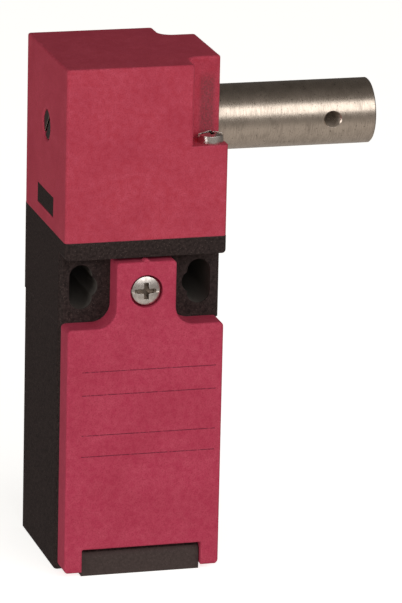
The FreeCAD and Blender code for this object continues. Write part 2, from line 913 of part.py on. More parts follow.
def tappet_guide():
    low = guide_top - guide_flange - guide_length
    barrel = rod_z(guide_radius, 0, middle_y, (low, collar_top))
    flange = rod_z(guide_flange_radius, 0, middle_y, (collar_top, guide_top))
    bore = rod_z(tappet_stem_radius + guide_clearance, 0, middle_y, (low, guide_top))
    return barrel.fuse(flange).cut(bore)


def tappet_seal():
    z = (guide_top, guide_top + tappet_seal_height)
    ring = rod_z(tappet_seal_radius, 0, middle_y, z)
    return ring.cut(rod_z(tappet_stem_radius + guide_clearance, 0, middle_y, z))


def tappet_spring():
    z = (guide_top, tappet_shoulder)
    return coil_spring(0, middle_y, z, tappet_spring_radius, tappet_spring_wire, tappet_spring_half_pitch)


# Contact levels: facing is -1 where the bridge hangs under its fixed contacts, 1 where it waits above
def contact_levels():
    levels = [(strip, -1, push_gap, closed_free_play) for strip in closed_strips]
    levels.append((open_strip, 1, cam_travel + push_gap, 0))
    return levels


def fixed_tip_face(strip, facing):
    return strip + facing * (strip_thickness / 2 + fixed_tip_height)


def bar_faces(strip, facing, gap):
    near = fixed_tip_face(strip, facing) + facing * (gap + bridge_tip_height)
    return near, near + facing * bar_thickness


def plate_centre(strip, facing):
    return strip + facing * (plate_height - strip_thickness) / 2


def carrier_bottom():
    strip, facing, gap, play = contact_levels()[-1]
    return bar_faces(strip, facing, gap)[0] - carrier_foot


def spring_floor():
    return carrier_bottom() - return_spring_length


def block_bottom():
    return spring_floor() - block_floor


def block_screw_z():
    return block_bottom() - flange_height / 2


def spring_seat(strip, facing, gap):
    near, far = bar_faces(strip, facing, gap)
    return far, far + facing * contact_spring_length


def contact_carrier():
    x = (-carrier_half_width, carrier_half_width)
    y = (middle_y - carrier_half_depth, middle_y + carrier_half_depth)
    column = block(x, y, (carrier_bottom(), carrier_top))
    window_y = (middle_y - window_half_depth, middle_y + window_half_depth)
    windows = []
    for strip, facing, gap, play in contact_levels():
        near = bar_faces(strip, facing, gap)[0] - facing * play
        end = spring_seat(strip, facing, gap)[1]
        windows.append(block(x, window_y, sorted((near, end))))
    return column.cut(windows)


def bridge_bar(strip, facing, gap):
    x = (-bar_half_length, bar_half_length)
    y = (middle_y - bar_half_depth, middle_y + bar_half_depth)
    return block(x, y, sorted(bar_faces(strip, facing, gap)))


def bridge_tips():
    tips = []
    for strip, facing, gap, play in contact_levels():
        near = bar_faces(strip, facing, gap)[0]
        z = sorted((near, near - facing * bridge_tip_height))
        for side in (-1, 1):
            tips.append(rod_z(contact_tip_radius, side * tip_centre, middle_y, z))
    return tips


def contact_springs():
    springs = []
    for strip, facing, gap, play in contact_levels():
        z = sorted(spring_seat(strip, facing, gap))
        size = (contact_spring_radius, contact_spring_wire, contact_spring_half_pitch)
        springs.append(coil_spring(0, middle_y, z, *size))
    return springs


def return_spring():
    z = (spring_floor(), carrier_bottom())
    return coil_spring(0, middle_y, z, return_spring_radius, return_spring_wire, return_spring_half_pitch)


def mirrored(shape, side):
    return shape if side > 0 else shape.mirror(Vector(0, 0, 0), Vector(1, 0, 0))


def fixed_contact(strip, facing, side):
    z = (strip - strip_thickness / 2, strip + strip_thickness / 2)
    back = middle_y + strip_half_depth
    bar = block((strip_inner_end, strip_outer_end), (middle_y - strip_half_depth, back), z)
    neck = block((strip_outer_end - strip_neck, strip_outer_end), (block_front, back), z)
    plate_x = (terminal_x - plate_width / 2, terminal_x + plate_width / 2)
    centre = plate_centre(strip, facing)
    plate_z = (centre - plate_height / 2, centre + plate_height / 2)
    plate_y = (plate_front, block_front)
    plate = block(plate_x, plate_y, plate_z).cut(rod_y(m3_radius, terminal_x, plate_y, centre))
    return mirrored(joined(bar, [neck, plate]), side)


def fixed_tips():
    tips = []
    for strip, facing, gap, play in contact_levels():
        z = sorted((strip + facing * strip_thickness / 2, fixed_tip_face(strip, facing)))
        for side in (-1, 1):
            tips.append(rod_z(contact_tip_radius, side * tip_centre, middle_y, z))
    return tips


def terminal_screws():
    length = terminal_reach + clamp_thickness + wire_gap + plate_thickness
    screws = []
    for strip, facing, gap, play in contact_levels():
        for side in (-1, 1):
            screw = screw_shape(terminal_head, terminal_head_height, terminal_dome, m3_radius, length)
            place = Vector(side * terminal_x, clamp_front, plate_centre(strip, facing))
            screws.append(turned_to_front(screw, place))
    return screws


def terminal_clamps():
    half = clamp_side / 2
    y = (clamp_front, clamp_back)
    clamps = []
    for strip, facing, gap, play in contact_levels():
        centre = plate_centre(strip, facing)
        for side in (-1, 1):
            x = side * terminal_x
            plate = block((x - half, x + half), y, (centre - half, centre + half))
            clamps.append(plate.cut(rod_y(m3_radius, x, y, centre)))
    return clamps


def level_cuts(strip, facing, gap):
    near, far = bar_faces(strip, facing, gap)
    travel = cam_travel if facing < 0 else 0
    end = far + facing * (travel + chamber_gap)
    start = strip - facing * (strip_thickness / 2 + slot_fit)
    x = (-chamber_half_width, chamber_half_width)
    half_depth = strip_half_depth + guide_gap
    cuts = [block(x, (middle_y - half_depth, middle_y + half_depth), sorted((start, end)))]
    z = (strip - strip_thickness / 2 - slot_fit, strip + strip_thickness / 2 + slot_fit)
    slot_x_range = (strip_outer_end - strip_neck - slot_fit, strip_outer_end + slot_fit)
    slot = block(slot_x_range, (block_front, middle_y + strip_half_depth + slot_fit), z)
    bar_half = strip_half_depth + slot_fit
    bar_x = (strip_inner_end, strip_outer_end + slot_fit)
    slot = slot.fuse(block(bar_x, (middle_y - bar_half, middle_y + bar_half), z))
    hole_y = (block_front, block_front + terminal_reach + m3_clearance)
    hole = rod_y(m3_radius + m3_clearance, terminal_x, hole_y, plate_centre(strip, facing))
    for side in (-1, 1):
        cuts += [mirrored(slot, side), mirrored(hole, side)]
    return cuts


def contact_block_base():
    x = (-block_half_width, block_half_width)
    body = block(x, (block_front, block_back), (block_bottom(), block_top))
    flange_z = (block_bottom() - flange_height, block_bottom())
    flange = block(x, (block_back - flange_thickness, block_back), flange_z)
    tongue_z = (block_top, block_top + tongue_rise)
    tongue_x = (-tongue_half_width, tongue_half_width)
    tongue = block(tongue_x, (block_back - tongue_depth, block_back), tongue_z)
    guide_x = (-carrier_half_width - guide_gap, carrier_half_width + guide_gap)
    half_depth = carrier_half_depth + guide_gap
    guide_y = (middle_y - half_depth, middle_y + half_depth)
    cuts = [block(guide_x, guide_y, (spring_floor(), block_top))]
    for strip, facing, gap, play in contact_levels():
        cuts += level_cuts(strip, facing, gap)
    for side in (-1, 1):
        y = (block_back - flange_thickness, block_back)
        cuts.append(rod_y(m3_radius + m3_clearance, side * block_screw_x, y, block_screw_z()))
    return joined(body, [flange, tongue]).cut(cuts)


# Insulating cover of the contact block, with a barrier between each two terminals
def contact_block_cover():
    plate_y = (block_front - cover_plate_thickness, block_front)
    plate_x = (-cover_plate_half_width, cover_plate_half_width)
    plate = block(plate_x, plate_y, (block_bottom(), block_top))
    edges = [block_top]
    for strip, facing, gap, play in contact_levels():
        centre = plate_centre(strip, facing)
        edges += [centre + plate_height / 2, centre - plate_height / 2]
    edges.append(block_bottom())
    barriers = []
    for high, low in zip(edges[0::2], edges[1::2]):
        middle = (high + low) / 2
        x = (-block_half_width, block_half_width)
        z = (middle - barrier_thickness / 2, middle + barrier_thickness / 2)
        barriers.append(block(x, (block_front - barrier_reach, block_front), z))
    return joined(plate, barriers)


def block_screws():
    length = flange_thickness + block_insert_length - insert_floor
    screws = []
    for side in (-1, 1):
        screw = screw_shape(block_screw_head, block_screw_head_height, block_screw_dome, m3_radius, length)
        place = Vector(side * block_screw_x, block_back - flange_thickness, block_screw_z())
        screws.append(turned_to_front(screw, place))
    return screws


def block_screw_inserts():
    y = (block_back, block_back + block_insert_length)
    inserts = []
    for side in (-1, 1):
        outer = rod_y(m3_insert_radius, side * block_screw_x, y, block_screw_z())
        inserts.append(outer.cut(rod_y(m3_radius, side * block_screw_x, y, block_screw_z())))
    return inserts


def save_contacts():
    names = ["bridge_closed_upper", "bridge_closed_lower", "bridge_open"]
    levels = contact_levels()
    for name, (strip, facing, gap, play) in zip(names, levels):
        save(name, bridge_bar(strip, facing, gap))
    number = 0
    for strip, facing, gap, play in levels:
        for side in (-1, 1):
            number += 1
            save("fixed_contact_" + str(number), fixed_contact(strip, facing, side))
    save_group("bridge_tips", bridge_tips())
    save_group("fixed_contact_tips", fixed_tips())
    save_group("contact_springs", contact_springs())
    save_group("terminal_screws", terminal_screws())
    save_group("terminal_clamps", terminal_clamps())


def save_all():
    os.makedirs("parts", exist_ok=True)
    single = [
        body_housing, head_housing, head_gasket, front_cover, cover_gasket, cover_screw,
        cover_screw_retainer, cover_screw_insert, spindle, spindle_bush_outer, spindle_seal,
        spindle_bush_inner, spindle_end_seal, thrust_washer, cam, tappet, tappet_guide,
        tappet_seal, tappet_spring, contact_block_base, contact_block_cover, contact_carrier,
        return_spring,
    ]
    for make in single:
        save(make.__name__, make())
    save("cam_pin", cam_pin_rod())
    groups = [head_screws, head_screw_inserts, block_screws, block_screw_inserts]
    for make in groups:
        save_group(make.__name__, make())
    save_contacts()


save_all()
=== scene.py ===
import math

import bmesh
import bpy
from mathutils import Matrix, Vector


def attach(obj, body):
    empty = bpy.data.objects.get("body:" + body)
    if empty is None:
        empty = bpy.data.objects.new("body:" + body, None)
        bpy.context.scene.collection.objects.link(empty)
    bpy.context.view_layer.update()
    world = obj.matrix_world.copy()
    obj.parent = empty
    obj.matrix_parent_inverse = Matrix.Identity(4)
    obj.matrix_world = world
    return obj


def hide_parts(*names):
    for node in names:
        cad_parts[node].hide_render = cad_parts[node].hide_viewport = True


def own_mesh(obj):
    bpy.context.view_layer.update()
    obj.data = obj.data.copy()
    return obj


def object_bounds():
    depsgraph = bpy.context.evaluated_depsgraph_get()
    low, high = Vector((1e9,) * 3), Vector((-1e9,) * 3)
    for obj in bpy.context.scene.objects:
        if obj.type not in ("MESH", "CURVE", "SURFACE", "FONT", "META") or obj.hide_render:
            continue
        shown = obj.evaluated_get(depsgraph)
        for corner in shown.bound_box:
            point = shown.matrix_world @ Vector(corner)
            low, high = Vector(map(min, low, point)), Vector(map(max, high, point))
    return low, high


# Safety position switch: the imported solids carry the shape, this script dresses and lights them
mm = 0.001


def hexToLinear(hexText, alpha=1.0):
    channels = [int(hexText[start:start + 2], 16) / 255 for start in (1, 3, 5)]
    linear = [c / 12.92 if c <= 0.04045 else ((c + 0.055) / 1.055) ** 2.4 for c in channels]
    return (*linear, alpha)


# Adds one shader node with its settings, and fills or links its sockets by name or as input0, input1...
def addNode(tree, kind, settings=None, **sockets):
    node = tree.nodes.new(kind)
    for name, value in (settings or {}).items():
        setattr(node, name, value)
    for name, value in sockets.items():
        key = int(name[5:]) if name.startswith("input") else name.replace("_", " ")
        socket = node.inputs[key]
        if isinstance(value, bpy.types.NodeSocket):
            tree.links.new(value, socket)
        else:
            socket.default_value = value
    return node


def newMaterial(name):
    material = bpy.data.materials.new(name)
    material.use_nodes = True
    material.node_tree.nodes.clear()
    return material, material.node_tree


# Scale of a noise whose blotches are the given size, on coordinates in metres
def perFeature(sizeMm):
    return 1 / (sizeMm * mm)


# 1 inside a box given by its middle and half sizes in mm, and 0 outside
def inBox(tree, place, middle, half):
    parts = addNode(tree, "ShaderNodeSeparateXYZ", Vector=place)
    inside = None
    for axis, centre, reach in zip("XYZ", middle, half):
        near = addNode(tree, "ShaderNodeMath", {"operation": "COMPARE"}, input0=parts.outputs[axis],
                       input1=centre * mm, input2=reach * mm)
        if inside is not None:
            near = addNode(tree, "ShaderNodeMath", {"operation": "MULTIPLY"}, input0=near.outputs[0],
                           input1=inside.outputs[0])
        inside = near
    return inside.outputs[0]


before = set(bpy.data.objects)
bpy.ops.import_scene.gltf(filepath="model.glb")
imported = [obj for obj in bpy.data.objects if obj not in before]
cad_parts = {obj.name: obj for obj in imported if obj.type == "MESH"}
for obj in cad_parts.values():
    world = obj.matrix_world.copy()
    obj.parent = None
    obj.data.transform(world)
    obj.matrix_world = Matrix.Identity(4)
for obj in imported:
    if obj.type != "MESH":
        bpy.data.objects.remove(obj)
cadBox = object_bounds()
print("frame loaded")


# Camera

cameraView = {
    "place": (-222.5, -844.2, 245.8),  # mm, in the frame's axes
    "azimuth": 15.97,  # degrees to the right of straight ahead
    "elevation": 16.36,  # degrees of looking down
    "roll": 1.32,
    "lens": 291.6,  # mm on a 36 mm sensor along the picture's height
}


def makeCamera():
    data = bpy.data.cameras.new("camera")
    data.sensor_fit = "VERTICAL"
    data.sensor_height = 36.0
    data.lens = cameraView["lens"]
    data.clip_start = 0.05
    data.clip_end = 20.0
    camera = bpy.data.objects.new("camera", data)
    bpy.context.scene.collection.objects.link(camera)
    turn = Matrix.Rotation(math.radians(-cameraView["azimuth"]), 4, "Z")
    tilt = Matrix.Rotation(math.radians(90 - cameraView["elevation"]), 4, "X")
    roll = Matrix.Rotation(math.radians(cameraView["roll"]), 4, "Z")
    place = Matrix.Translation(Vector(cameraView["place"]) * mm)
    camera.matrix_world = place @ turn @ tilt @ roll
    bpy.context.scene.camera = camera


# Studio

studio = {
    "floorColour": "#F4F3F1",
    "floorShade": "#E6E5E2",
    "floorGlow": 0.86,
    "floorHalf": 6.0,  # metres
    "floorGapMm": 0.1,  # keeps the floor off the part's foot, which would flicker with it
    "floorMottleMm": 120.0,
    "airColour": "#DCD6D0",
    "airGlow": 0.13,  # all round
    "frontGlow": 0.25,  # added towards the front
    "downGlow": 0.49,  # added where a pale table would be seen from close by
    "keyPower": 6.3,
    "keySize": (1.6, 0.6),  # metres
    "keyPlace": (0.30, -0.90, 0.50),
    "leftPower": 6.2,
    "leftSize": (0.7, 0.7),
    "leftPlace": (-1.1, -0.45, 0.05),
}


def addSoftbox(name, power, size, place):
    data = bpy.data.lights.new(name, "AREA")
    data.shape = "RECTANGLE"
    data.size, data.size_y = size
    data.energy = power
    light = bpy.data.objects.new(name, data)
    light.location = place
    light.rotation_mode = "QUATERNION"
    light.rotation_quaternion = (Vector((0, -0.015, 0)) - Vector(place)).to_track_quat("-Z", "Y")
    bpy.context.scene.collection.objects.link(light)


# Dim room, lighter in front and below, dark behind, as round a lit table
def makeAir():
    world = bpy.data.worlds.new("studio air")
    world.use_nodes = True
    tree = world.node_tree
    direction = addNode(tree, "ShaderNodeTexCoord").outputs["Generated"]
    parts = addNode(tree, "ShaderNodeSeparateXYZ", Vector=direction)
    front = addNode(tree, "ShaderNodeMapRange", Value=parts.outputs["Y"], From_Min=0.3, From_Max=-1.0,
                    To_Min=0.0, To_Max=studio["frontGlow"])
    down = addNode(tree, "ShaderNodeMapRange", Value=parts.outputs["Z"], From_Min=-0.2, From_Max=-0.6,
                   To_Min=0.0, To_Max=studio["downGlow"])
    both = addNode(tree, "ShaderNodeMath", {"operation": "ADD"}, input0=front.outputs[0],
                   input1=down.outputs[0])
    glow = addNode(tree, "ShaderNodeMath", {"operation": "ADD"}, input0=both.outputs[0],
                   input1=studio["airGlow"])
    background = tree.nodes["Background"]
    background.inputs["Color"].default_value = hexToLinear(studio["airColour"])
    tree.links.new(glow.outputs[0], background.inputs["Strength"])
    bpy.context.scene.world = world


# Pale matt table, evenly lit
def floorMaterial():
    material, tree = newMaterial("matt laminate, pale")
    place = addNode(tree, "ShaderNodeTexCoord").outputs["Object"]
    mottle = addNode(tree, "ShaderNodeTexNoise", Vector=place, Scale=perFeature(studio["floorMottleMm"]),
                     Detail=2.0)
    shade = addNode(tree, "ShaderNodeMapRange", Value=mottle.outputs[0], From_Min=0.3, From_Max=0.7,
                    To_Max=0.12)
    colour = addNode(tree, "ShaderNodeMix", {"data_type": "RGBA"}, input0=shade.outputs[0],
                     input6=hexToLinear(studio["floorColour"]), input7=hexToLinear(studio["floorShade"]))
    shader = addNode(tree, "ShaderNodeBsdfPrincipled", Base_Color=colour.outputs[2], Roughness=0.85,
                     Emission_Color=hexToLinear(studio["floorColour"]),
                     Emission_Strength=studio["floorGlow"])
    addNode(tree, "ShaderNodeOutputMaterial", Surface=shader.outputs[0])
    return material


def makeStudio():
    scene = bpy.context.scene
    scene.view_settings.view_transform = "Standard"
    makeAir()
    for side in ("key", "left"):
        addSoftbox(side + " softbox", studio[side + "Power"], studio[side + "Size"], studio[side + "Place"])
    shape = bmesh.new()
    bmesh.ops.create_grid(shape, x_segments=1, y_segments=1, size=studio["floorHalf"])
    bmesh.ops.translate(shape, verts=shape.verts, vec=(0, 0, cadBox[0][2] - studio["floorGapMm"] * mm))
    mesh = bpy.data.meshes.new("floor")
    shape.to_mesh(mesh)
    shape.free()
    mesh.materials.append(floorMaterial())
    floor = bpy.data.objects.new("floor", mesh)
    floor.visible_diffuse = False  # its bounce is the air's glow from below
    floor.visible_glossy = False
    scene.collection.objects.link(floor)


makeCamera()
makeStudio()
print("camera and studio placed")


# Materials

redMoulding = {
    "head": "#C44354",
    "cover": "#C3405C",
    "deep": "#AC3449",
    "pale": "#DB6176",
    "edge": "#D45E74",
    "markTone": "#4E2230",
    "highlightShare": 0.32,  # share of the painted edge highlight at an edge
    "roughness": 0.55,
    "specular": 0.1,  # below the usual 0.5, as its eroded skin hardly shines
    "grainMm": 0.25,  # eroded skin, drawn coarser than its 0.05 mm so that it shows
    "grainDepthMm": 0.03,
    "mottleMm": 1.1,
    "flowMm": 7.0,
    "edgeMm": 0.3,
}

# Painted shade in the upright step of the head's front corner: a darker speckled stripe, mm
stepShade = {"x": (10.9, 14.2), "y": -23.8, "high": 38.5, "tint": "#7A4A4E", "grainMm": 0.35}

printedRules = {
    "middle": 0.8,  # mm
    "half": 12.5,
    "heights": (-14.6, -19.0, -26.6, -30.6),
    "thickness": 0.17,
    "cover": -31.2,
    "wearMm": 0.5,
}


# 1 on the thin printed lines of the cover's front, less where the ink is worn
def rulesMask(tree, place):
    total = None
    for height in printedRules["heights"]:
        middle = (printedRules["middle"], printedRules["cover"], height)
        line = inBox(tree, place, middle, (printedRules["half"], 0.1, printedRules["thickness"] / 2))
        if total is not None:
            line = addNode(tree, "ShaderNodeMath", {"operation": "ADD"}, input0=total,
                           input1=line).outputs[0]
        total = line
    worn = addNode(tree, "ShaderNodeTexNoise", Vector=place, Scale=perFeature(printedRules["wearMm"]),
                   Detail=3.0)
    markTone = addNode(tree, "ShaderNodeMapRange", Value=worn.outputs[0], From_Min=0.32, From_Max=0.5,
                  To_Min=0.2, To_Max=0.7)
    return addNode(tree, "ShaderNodeMath", {"operation": "MULTIPLY"}, input0=total,
                   input1=markTone.outputs[0]).outputs[0]


# Threads that the solids leave plain: a point of the axis, its turn from upright in degrees, and sizes in mm
threads = {
    "cable entry": {"place": (0, -15, -49), "turn": (0, 0, 0), "radius": 7.6, "half": 5.0, "pitch": 1.5,
                    "depth": 0.8},
    "cross hole": {"place": (37.3, -15, 27.6), "turn": (90, 0, 0), "radius": 1.6, "half": 5.7, "pitch": 0.7,
                   "depth": 0.8},  # deeper than real, so that it shows
    "cover screw": {"place": (0, -25.8, 0), "turn": (90, 0, 0), "radius": 1.35, "half": 2.9, "pitch": 0.5,
                    "depth": 0.25},
}


# Height of a thread's ridges, 0 away from it, and a mask of where it is
def threadHeight(tree, place, thread):
    local = addNode(tree, "ShaderNodeMapping", {"vector_type": "TEXTURE"}, Vector=place,
                    Location=[value * mm for value in thread["place"]],
                    Rotation=[math.radians(value) for value in thread["turn"]])
    parts = addNode(tree, "ShaderNodeSeparateXYZ", Vector=local.outputs[0])
    flat = addNode(tree, "ShaderNodeVectorMath", {"operation": "MULTIPLY"}, input0=local.outputs[0],
                   input1=(1, 1, 0))
    reach = addNode(tree, "ShaderNodeVectorMath", {"operation": "LENGTH"}, input0=flat.outputs[0])
    near = addNode(tree, "ShaderNodeMath", {"operation": "LESS_THAN"}, input0=reach.outputs["Value"],
                   input1=thread["radius"] * mm)
    level = addNode(tree, "ShaderNodeMath", {"operation": "COMPARE"}, input0=parts.outputs["Z"],
                    input1=0.0, input2=thread["half"] * mm)
    angle = addNode(tree, "ShaderNodeMath", {"operation": "ARCTAN2"}, input0=parts.outputs["Y"],
                    input1=parts.outputs["X"])
    turn = addNode(tree, "ShaderNodeMath", {"operation": "DIVIDE"}, input0=angle.outputs[0],
                   input1=2 * math.pi)
    rise = addNode(tree, "ShaderNodeMath", {"operation": "DIVIDE"}, input0=parts.outputs["Z"],
                   input1=thread["pitch"] * mm)
    phase = addNode(tree, "ShaderNodeMath", {"operation": "SUBTRACT"}, input0=rise.outputs[0],
                    input1=turn.outputs[0])
    ridge = addNode(tree, "ShaderNodeMath", {"operation": "PINGPONG"}, input0=phase.outputs[0],
                    input1=0.5)
    here = addNode(tree, "ShaderNodeMath", {"operation": "MULTIPLY"}, input0=near.outputs[0],
                   input1=level.outputs[0])
    height = addNode(tree, "ShaderNodeMath", {"operation": "MULTIPLY"}, input0=ridge.outputs[0],
                     input1=here.outputs[0])
    return height.outputs[0], here.outputs[0]


# 1 where shade is painted in the head's front step, speckled and fading at its sides
def stepMask(tree, place):
    parts = addNode(tree, "ShaderNodeSeparateXYZ", Vector=place)
    middle = sum(stepShade["x"]) / 2
    offset = addNode(tree, "ShaderNodeMath", {"operation": "SUBTRACT"}, input0=parts.outputs["X"],
                     input1=middle * mm)
    away = addNode(tree, "ShaderNodeMath", {"operation": "ABSOLUTE"}, input0=offset.outputs[0])
    band = addNode(tree, "ShaderNodeMapRange", Value=away.outputs[0],
                   From_Min=(stepShade["x"][1] - middle) * mm,
                   From_Max=(stepShade["x"][1] - middle - 0.7) * mm, To_Min=0.0, To_Max=1.0)
    front = addNode(tree, "ShaderNodeMath", {"operation": "COMPARE"}, input0=parts.outputs["Y"],
                    input1=stepShade["y"] * mm, input2=0.25 * mm)
    fade = addNode(tree, "ShaderNodeMapRange", Value=parts.outputs["Z"], From_Min=stepShade["high"] * mm,
                   From_Max=(stepShade["high"] - 2.0) * mm, To_Min=0.0, To_Max=1.0)
    grain = addNode(tree, "ShaderNodeTexNoise", Vector=place, Scale=perFeature(stepShade["grainMm"]),
                    Detail=2.0)
    speck = addNode(tree, "ShaderNodeMapRange", Value=grain.outputs[0], From_Min=0.3, From_Max=0.65,
                    To_Min=0.1, To_Max=0.75)
    here = addNode(tree, "ShaderNodeMath", {"operation": "MULTIPLY"}, input0=band.outputs[0],
                   input1=front.outputs[0])
    faded = addNode(tree, "ShaderNodeMath", {"operation": "MULTIPLY"}, input0=here.outputs[0],
                    input1=fade.outputs[0])
    return addNode(tree, "ShaderNodeMath", {"operation": "MULTIPLY"}, input0=faded.outputs[0],
                   input1=speck.outputs[0]).outputs[0]


# Normal softened at the solid's edges, and 1 near an edge, 0 on flats
def softEdges(tree, radiusMm):
    soft = addNode(tree, "ShaderNodeBevel", {"samples": 6}, Radius=radiusMm * mm)
    flat = addNode(tree, "ShaderNodeNewGeometry")
    same = addNode(tree, "ShaderNodeVectorMath", {"operation": "DOT_PRODUCT"}, input0=soft.outputs[0],
                   input1=flat.outputs["Normal"])
    near = addNode(tree, "ShaderNodeMapRange", Value=same.outputs["Value"], From_Min=1.0, From_Max=0.9,
                   To_Min=0.0, To_Max=1.0)
    return soft.outputs[0], near.outputs[0]


# Glass-filled polyester, moulded in an eroded tool: a dull even red with fine grain and faint flow marks
def redPolyester(name, colourName, printed):
    material, tree = newMaterial(name)
    place = addNode(tree, "ShaderNodeTexCoord").outputs["Object"]
    mottle = addNode(tree, "ShaderNodeTexNoise", Vector=place, Scale=perFeature(redMoulding["mottleMm"]),
                     Detail=5.0, Roughness=0.65)
    pale = addNode(tree, "ShaderNodeMapRange", Value=mottle.outputs[0], From_Min=0.35, From_Max=0.7,
                   To_Min=0.05, To_Max=0.6)
    colour = addNode(tree, "ShaderNodeMix", {"data_type": "RGBA"}, input0=pale.outputs[0],
                     input6=hexToLinear(redMoulding[colourName]), input7=hexToLinear(redMoulding["pale"]))
    flow = addNode(tree, "ShaderNodeTexNoise", Vector=place, Scale=perFeature(redMoulding["flowMm"]),
                   Detail=2.0)
    deep = addNode(tree, "ShaderNodeMapRange", Value=flow.outputs[0], From_Min=0.35, From_Max=0.7,
                   To_Min=0.0, To_Max=0.32)
    colour = addNode(tree, "ShaderNodeMix", {"data_type": "RGBA"}, input0=deep.outputs[0],
                     input6=colour.outputs[2], input7=hexToLinear(redMoulding["deep"]))
    grain = addNode(tree, "ShaderNodeTexNoise", Vector=place, Scale=perFeature(redMoulding["grainMm"]),
                    Detail=3.0, Roughness=0.65)
    speck = addNode(tree, "ShaderNodeMapRange", Value=grain.outputs[0], From_Min=0.45, From_Max=0.7,
                    To_Min=0.0, To_Max=0.7)
    colour = addNode(tree, "ShaderNodeMix", {"data_type": "RGBA"}, input0=speck.outputs[0],
                     input6=colour.outputs[2], input7=hexToLinear(redMoulding["deep"]))
    softNormal, nearEdge = softEdges(tree, redMoulding["edgeMm"])
    # Painted highlight along the edges, lightening the red there
    highlight = addNode(tree, "ShaderNodeMath", {"operation": "MULTIPLY"}, input0=nearEdge,
                  input1=redMoulding["highlightShare"])
    colour = addNode(tree, "ShaderNodeMix", {"data_type": "RGBA"}, input0=highlight.outputs[0],
                     input6=colour.outputs[2], input7=hexToLinear(redMoulding["edge"]))
    # The cover gets its printed rules; the head gets painted shade in its front step
    marks, markTone = (rulesMask, redMoulding["markTone"]) if printed else (stepMask, stepShade["tint"])
    colour = addNode(tree, "ShaderNodeMix", {"data_type": "RGBA"}, input0=marks(tree, place),
                     input6=colour.outputs[2], input7=hexToLinear(markTone))
    bump = addNode(tree, "ShaderNodeBump", Strength=0.4, Distance=redMoulding["grainDepthMm"] * mm,
                   Height=grain.outputs[0], Normal=softNormal)
    rough = addNode(tree, "ShaderNodeMapRange", Value=mottle.outputs[0], From_Min=0.3, From_Max=0.7,
                    To_Min=redMoulding["roughness"] - 0.08, To_Max=redMoulding["roughness"] + 0.08)
    shader = addNode(tree, "ShaderNodeBsdfPrincipled", Base_Color=colour.outputs[2],
                     Normal=bump.outputs[0], Roughness=rough.outputs[0],
                     Specular_IOR_Level=redMoulding["specular"])
    addNode(tree, "ShaderNodeOutputMaterial", Surface=shader.outputs[0])
    return material


blackMoulding = {
    "colour": "#251E1D",
    "tint": "#463A38",
    "fleck": "#6A5C57",
    # painted edge highlight: its colour, and its share at an edge
    "edge": "#564A48",
    "highlightShare": 0.35,
    "roughness": 0.6,
    "specular": 0.07,  # below the usual 0.5, as its rough skin hardly shines
    "grainMm": 0.2,  # spark-eroded skin
    "grainDepthMm": 0.045,
    "mottleMm": 0.5,
    "fleckMm": 0.45,
    "edgeMm": 0.2,
}

# Painted light on the black moulding, in boxes by their middle and half sizes in mm: the walls of the two
# fixing slots, painted paler as if lit so that they don't go black, and the hinge tab's front, painted
# lighter as if lit
paintedLightBoxes = (
    {"middle": (-9.9, -13.0, 0), "half": (3.7, 12.9, 4.5), "colour": "#726D67", "share": 0.6},
    {"middle": (9.9, -13.0, 0), "half": (3.7, 12.9, 4.5), "colour": "#726D67", "share": 0.6},
    {"middle": (0, -30.1, -51.0), "half": (13, 0.6, 4.0), "colour": "#6E605C", "share": 0.33},
)


